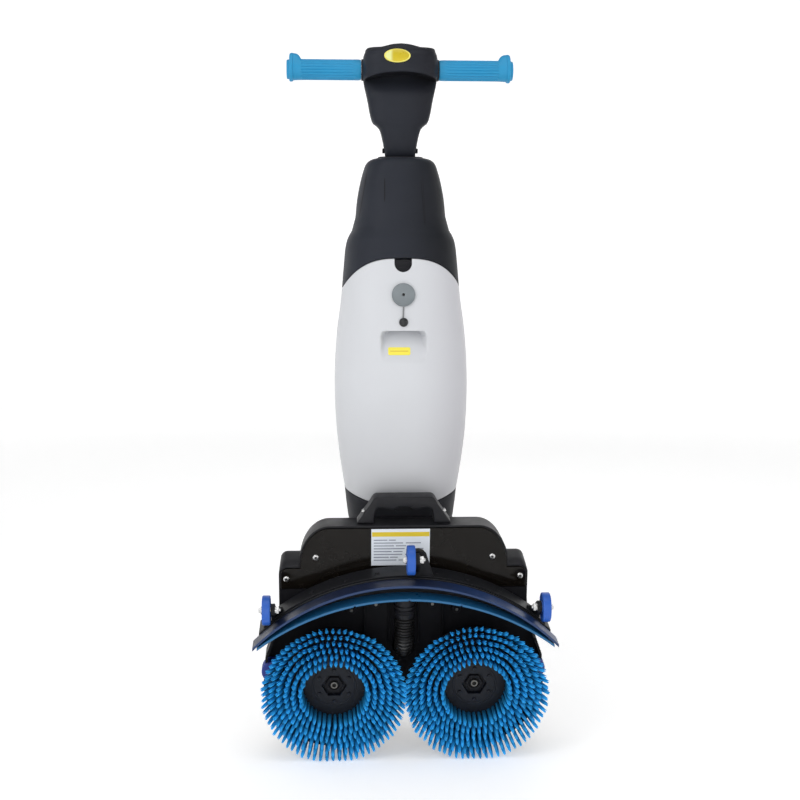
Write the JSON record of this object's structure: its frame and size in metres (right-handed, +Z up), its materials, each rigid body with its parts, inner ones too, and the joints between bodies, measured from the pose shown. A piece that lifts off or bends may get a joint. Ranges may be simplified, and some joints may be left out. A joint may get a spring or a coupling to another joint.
{
  "type": "floor scrubber machine",
  "caption": "Upright cordless floor scrubber-dryer parked with its deck tipped up: disc brushes, arched squeegee, slim column with tanks, T-handle.",
  "frame": {"origin": "on the floor, at the middle of the parked machine's footprint box", "axes": "+Z up; -Y is the side that shows the deck's underside and the white tank; +X to the right seen from there"},
  "size_m": [0.486, 0.3515, 1.1735],
  "materials": {
    "charcoal_plastic": "fine-grained satin moulding",
    "deck_black_plastic": "satin black moulding",
    "gloss_black_panel": "glossy flat sheet",
    "white_tank_plastic": "smooth satin blow moulding",
    "grey_tank_plastic": "smooth satin blow moulding",
    "cap_grey_plastic": "satin moulding",
    "grip_blue_rubber": "soft fluted rubber",
    "bristle_blue_nylon": "bristle tufts",
    "wheel_blue_plastic": "plain moulded wheel",
    "roller_navy_rubber": "plain rubber",
    "blade_navy_rubber": "polyurethane blade",
    "blade_teal_rubber": "polyurethane blade",
    "stainless_steel": "bright stainless steel",
    "hose_black_rubber": "ribbed bellows",
    "tyre_grey_rubber": "solid tyre",
    "battery_grey_plastic": "battery case",
    "motor_metal": "cast motor case"
  },
  "bodies": {
    "deck": {"deck_base": "deck_black_plastic", "deck_housing": "deck_black_plastic", "underside_panel": "gloss_black_panel", "carry_handle": "deck_black_plastic", "brush_motor_left": "motor_metal", "brush_motor_right": "motor_metal", "suction_hose": "hose_black_rubber", "transport_axle": "stainless_steel", "wheel_bracket": "deck_black_plastic", "joint_yoke": "charcoal_plastic", "pitch_pin": "stainless_steel", "roller_bolt_left": "stainless_steel", "roller_bolt_right": "stainless_steel"},
    "brush_left": {"bristles_left": "bristle_blue_nylon", "brush_plate_left": "deck_black_plastic"},
    "brush_right": {"bristles_right": "bristle_blue_nylon", "brush_plate_right": "deck_black_plastic"},
    "transport_left": {"transport_wheel_left": "tyre_grey_rubber"},
    "transport_right": {"transport_wheel_right": "tyre_grey_rubber"},
    "roller_left": {"wall_roller_left": "roller_navy_rubber"},
    "roller_right": {"wall_roller_right": "roller_navy_rubber"},
    "squeegee": {"squeegee_frame": "deck_black_plastic", "rear_blade": "blade_navy_rubber", "front_blade": "blade_teal_rubber", "blade_clamp": "stainless_steel", "suction_port": "deck_black_plastic", "wheel_bolt_left": "stainless_steel", "wheel_bolt_centre": "stainless_steel", "wheel_bolt_right": "stainless_steel"},
    "squeegee_wheel_l": {"squeegee_wheel_left": "wheel_blue_plastic"},
    "squeegee_wheel_c": {"squeegee_wheel_centre": "wheel_blue_plastic"},
    "squeegee_wheel_r": {"squeegee_wheel_right": "wheel_blue_plastic"},
    "cross": {"cross_block": "charcoal_plastic"},
    "column": {"column_base": "charcoal_plastic", "spine": "white_tank_plastic", "dome_front": "charcoal_plastic", "dome_rear": "charcoal_plastic", "dome_cap_plate": "charcoal_plastic", "battery_pack": "battery_grey_plastic", "vacuum_motor": "motor_metal", "roll_pin": "stainless_steel"},
    "clean_water": {"clean_tank": "white_tank_plastic", "cap_strap": "charcoal_plastic"},
    "fill_cap": {"filler_cap": "cap_grey_plastic"},
    "tank_latch": {"clean_tank_latch": "charcoal_plastic"},
    "dirty_water": {"recovery_tank": "grey_tank_plastic"},
    "drain_cap": {"recovery_cap": "charcoal_plastic"},
    "head": {"head_front": "charcoal_plastic", "head_rear": "charcoal_plastic", "neck_pin": "stainless_steel", "handlebar": "stainless_steel", "grip_left": "grip_blue_rubber", "grip_right": "grip_blue_rubber", "control_panel": "charcoal_plastic"},
    "power": {"power_button": "grip_blue_rubber"},
    "water": {"water_button": "grip_blue_rubber"}
  },
  "joints": [
    {"name": "brush_spin_left", "type": "hinge", "parent": "deck", "child": "brush_left", "pos_m": [-0.1145, -0.13654, 0.1103], "axis": [0, 0.9848, 0.1736], "continuous": true},
    {"name": "brush_spin_right", "type": "hinge", "parent": "deck", "child": "brush_right", "pos_m": [0.1145, -0.13654, 0.1103], "axis": [0, 0.9848, 0.1736], "continuous": true},
    {"name": "transport_spin_left", "type": "hinge", "parent": "deck", "child": "transport_left", "pos_m": [-0.1005, 0.06898, 0.0389], "axis": [1, 0, 0], "continuous": true},
    {"name": "transport_spin_right", "type": "hinge", "parent": "deck", "child": "transport_right", "pos_m": [0.1005, 0.06898, 0.0389], "axis": [1, 0, 0], "continuous": true},
    {"name": "roller_spin_left", "type": "hinge", "parent": "deck", "child": "roller_left", "pos_m": [-0.214, -0.06661, 0.13989], "axis": [0, 0.9848, 0.1736], "continuous": true},
    {"name": "roller_spin_right", "type": "hinge", "parent": "deck", "child": "roller_right", "pos_m": [0.214, -0.06661, 0.13989], "axis": [0, 0.9848, 0.1736], "continuous": true},
    {"name": "squeegee_float", "type": "slide", "parent": "deck", "child": "squeegee", "axis": [0, 0.9848, 0.1736], "range_m": [0, 0.006], "stiffness_N_per_m": 1500, "springref_m": -0.003},
    {"name": "squeegee_wheel_spin_left", "type": "hinge", "parent": "squeegee", "child": "squeegee_wheel_l", "pos_m": [-0.221, -0.13822, 0.25521], "axis": [1, 0, 0], "continuous": true},
    {"name": "squeegee_wheel_spin_centre", "type": "hinge", "parent": "squeegee", "child": "squeegee_wheel_c", "pos_m": [0.007, -0.15246, 0.33596], "axis": [1, 0, 0], "continuous": true},
    {"name": "squeegee_wheel_spin_right", "type": "hinge", "parent": "squeegee", "child": "squeegee_wheel_r", "pos_m": [0.223, -0.13822, 0.25521], "axis": [1, 0, 0], "continuous": true},
    {"name": "column_pitch", "type": "hinge", "parent": "deck", "child": "cross", "pos_m": [0, 0.06131, 0.22642], "axis": [-1, 0, 0], "range_deg": [0, 80]},
    {"name": "column_roll", "type": "hinge", "parent": "cross", "child": "column", "pos_m": [0, 0.05146, 0.27142], "axis": [0, 1, 0], "range_deg": [-20, 20]},
    {"name": "clean_tank_tip", "type": "hinge", "parent": "column", "child": "clean_water", "pos_m": [0, -0.03214, 0.397], "axis": [1, 0, 0], "range_deg": [0, 12]},
    {"name": "recovery_tank_tip", "type": "hinge", "parent": "column", "child": "dirty_water", "pos_m": [0, 0.13506, 0.397], "axis": [-1, 0, 0], "range_deg": [0, 20]},
    {"name": "filler_cap_pull", "type": "slide", "parent": "clean_water", "child": "fill_cap", "axis": [0, -0.9877, 0.1561], "range_m": [0, 0.03]},
    {"name": "recovery_cap_pull", "type": "slide", "parent": "dirty_water", "child": "drain_cap", "axis": [0, 0.9877, 0.1561], "range_m": [0, 0.03]},
    {"name": "tank_latch_press", "type": "slide", "parent": "clean_water", "child": "tank_latch", "axis": [0, 1, 0], "range_m": [0, 0.004], "stiffness_N_per_m": 800, "springref_m": -0.002},
    {"name": "head_tilt", "type": "hinge", "parent": "column", "child": "head", "pos_m": [0, 0.05146, 0.995], "axis": [1, 0, 0], "range_deg": [-10, 10]},
    {"name": "power_press", "type": "slide", "parent": "head", "child": "power", "axis": [0, 0, -1], "range_m": [0, 0.0015], "stiffness_N_per_m": 400, "springref_m": -0.001},
    {"name": "water_press", "type": "slide", "parent": "head", "child": "water", "axis": [0, 0, -1], "range_m": [0, 0.0015], "stiffness_N_per_m": 400, "springref_m": -0.001}
  ]
}
